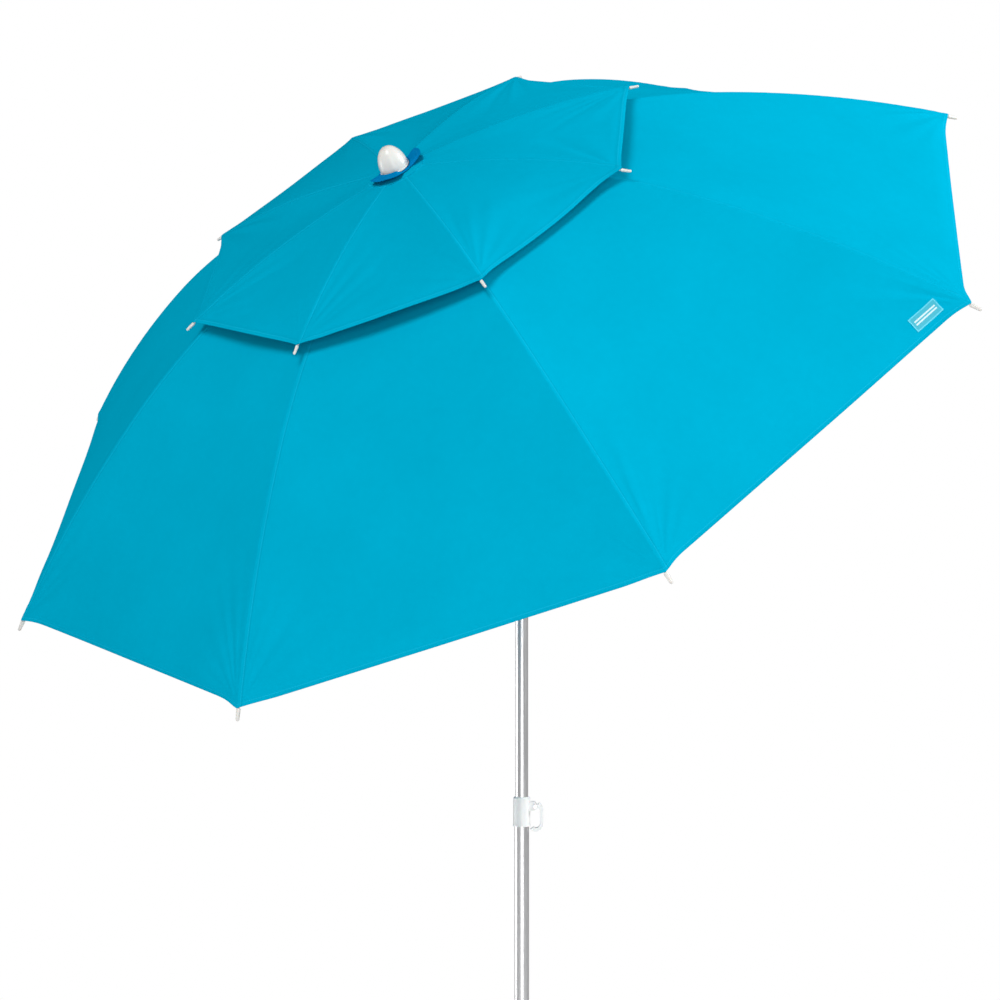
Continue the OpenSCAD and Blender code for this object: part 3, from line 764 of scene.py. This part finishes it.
def make_crown_cloths():
    """The vent's gathered middle, and the darker disc between it and the finial."""
    pivot_r, z = VENT_ROD["pivot"]
    z += VENT_ROD["height"] + MIDDLE_LIFT
    middle = ringed_cloth("vent_middle_cloth", lambda a: np.linspace(MIDDLE_HOLE_R, MIDDLE_R, 12),
                          lambda r, a: z - MIDDLE_FALL * np.maximum(0, r - pivot_r), CLOTH)
    disc = ringed_cloth("disc_cloth", disc_radii, disc_height, DISC_CLOTH)
    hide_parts("top_disc")


def weld(piece):
    """Joins points that lie on one another, and drops the faces that this leaves without an area."""
    shape = bmesh.new()
    shape.from_mesh(piece.data)
    bmesh.ops.remove_doubles(shape, verts=shape.verts, dist=WELD_GAP)
    bad = [f for f in shape.faces if len(f.verts) < 3 or f.calc_area() < NO_AREA]
    bmesh.ops.delete(shape, geom=bad, context="FACES")
    shape.to_mesh(piece.data)
    shape.free()


make_canopy("canopy", MAIN_ROD, OPENING_R, MAIN_CLOTH, far_rows=68, far_columns=38)
make_canopy("vent", VENT_ROD, VENT_START_R, VENT_CLOTH, far_rows=46, far_columns=26)
make_patch()
make_crown_cloths()
for finish, names in CAD_FINISH.items():
    for cad_name in names:
        dress(cad_name, finish)


# ---------------------------------------------------------------- stage, light and camera

FLOOR_R, FLOOR_Y = 2.5, -0.2
LIGHT_AIM = Vector((0, -0.3, 2.0))
LIGHT_DISTANCE = 5.0
LIGHT_SIZE = 2.2
# Upward part of the direction at which the world's light has its strength from below, and from above
WORLD_BELOW, WORLD_ABOVE = -0.4, 0.5
CAMERA_PLACE = (4.2224, -4.9535, 1.5086)
CAMERA_LENS = 107.82
CAMERA_SENSOR = 36


def make_floor():
    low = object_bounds()[0][2]
    bpy.ops.mesh.primitive_circle_add(vertices=ROUND_TURNS, radius=FLOOR_R, fill_type="NGON",
                                      location=(0, FLOOR_Y, low))
    floor = bpy.context.object
    floor.name = "studio_floor"
    floor.data.materials.append(floor_material())


def make_light(name, turn, height, power):
    """A round soft light at a turn from the camera's side, in degrees to its right, and at a height in
    degrees, aimed at the middle of the canopy."""
    a, e = CAMERA_AZIMUTH + math.radians(turn), math.radians(height)
    toward = Vector((math.sin(a) * math.cos(e), -math.cos(a) * math.cos(e), math.sin(e)))
    position = LIGHT_AIM + LIGHT_DISTANCE * toward
    light = bpy.data.lights.new(name, "AREA")
    light.shape = "DISK"
    light.size = LIGHT_SIZE
    light.energy = power
    lamp = bpy.data.objects.new(name, light)
    bpy.context.scene.collection.objects.link(lamp)
    lamp.location = position
    lamp.rotation_euler = (LIGHT_AIM - position).to_track_quat("-Z", "Y").to_euler()


def make_world(below, above):
    """Soft studio light of one strength from below and another from above, and a white backdrop."""
    world = bpy.data.worlds.new("studio")
    bpy.context.scene.world = world
    world.use_nodes = True
    tree = world.node_tree
    light = tree.nodes["Background"]
    light.inputs[0].default_value = (1, 1, 1, 1)
    place = tree.nodes.new("ShaderNodeTexCoord")
    parts = tree.nodes.new("ShaderNodeSeparateXYZ")
    graded_light = tree.nodes.new("ShaderNodeMapRange")
    tree.links.new(place.outputs["Generated"], parts.inputs[0])
    tree.links.new(parts.outputs["Z"], graded_light.inputs["Value"])
    for key, value in (("From Min", WORLD_BELOW), ("From Max", WORLD_ABOVE),
                       ("To Min", below), ("To Max", above)):
        graded_light.inputs[key].default_value = value
    tree.links.new(graded_light.outputs[0], light.inputs[1])
    backdrop = tree.nodes.new("ShaderNodeBackground")
    backdrop.inputs[0].default_value = (1, 1, 1, 1)
    seen = tree.nodes.new("ShaderNodeLightPath")
    both = tree.nodes.new("ShaderNodeMixShader")
    tree.links.new(seen.outputs["Is Camera Ray"], both.inputs[0])
    tree.links.new(light.outputs[0], both.inputs[1])
    tree.links.new(backdrop.outputs[0], both.inputs[2])
    tree.links.new(both.outputs[0], tree.nodes["World Output"].inputs[0])


def make_camera():
    data = bpy.data.cameras.new("camera")
    data.lens = CAMERA_LENS
    data.sensor_width = CAMERA_SENSOR
    camera = bpy.data.objects.new("camera", data)
    bpy.context.scene.collection.objects.link(camera)
    camera.location = CAMERA_PLACE
    camera.rotation_euler = (math.radians(90), 0, CAMERA_AZIMUTH)
    bpy.context.scene.camera = camera


make_floor()
make_world(below=0.52, above=0.13)
make_light("key", 82, 28, 232)
make_light("front", -28, 38, 182)
make_light("low", 0, 4, 52)
make_light("under", 10, -24, 58)
make_light("back", -105, -15, 60)
make_camera()
bpy.context.scene.view_settings.view_transform = "Standard"
